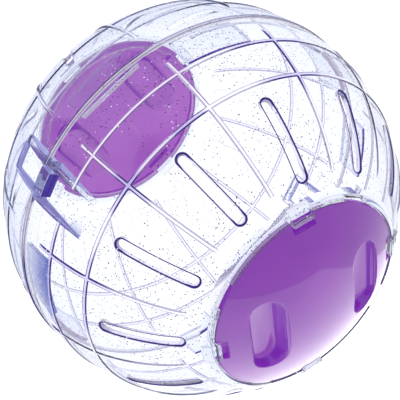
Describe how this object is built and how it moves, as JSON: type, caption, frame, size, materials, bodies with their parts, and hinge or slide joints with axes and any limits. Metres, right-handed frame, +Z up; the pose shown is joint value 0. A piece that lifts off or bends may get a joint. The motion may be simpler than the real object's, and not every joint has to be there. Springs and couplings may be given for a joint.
{
  "type": "hamster ball",
  "caption": "Clear two-piece exercise ball for a small pet, with air slots, raised ribs, sunk seam latches and a round lift-out door lid in each side.",
  "frame": {"origin": "centre of the ball", "axes": "+Y runs along the axis through both door lids, from the front half towards the rear half; +Z is up as the ball lies in the picture; +X is to the right of someone who looks along +Y"},
  "size_m": [0.18, 0.1788, 0.18],
  "materials": {
    "clear_plastic": "clear polystyrene with fine dark glitter, high gloss as moulded",
    "purple_plastic": "purple tinted polystyrene, high gloss as moulded"
  },
  "bodies": {
    "front_half": {"front_half_shell": "clear_plastic"},
    "rear_half": {"rear_half_shell": "clear_plastic"},
    "front_lid": {"front_door_lid": "purple_plastic"},
    "rear_lid": {"rear_door_lid": "purple_plastic"}
  },
  "joints": [
    {"name": "rear_half_slide", "type": "slide", "parent": "front_half", "child": "rear_half", "axis": [0, 1, 0], "range_m": [0, 0.06]},
    {"name": "front_lid_slide", "type": "slide", "parent": "front_half", "child": "front_lid", "axis": [0, -1, 0], "range_m": [0, 0.045]},
    {"name": "rear_lid_slide", "type": "slide", "parent": "rear_half", "child": "rear_lid", "axis": [0, 1, 0], "range_m": [0, 0.045]}
  ]
}
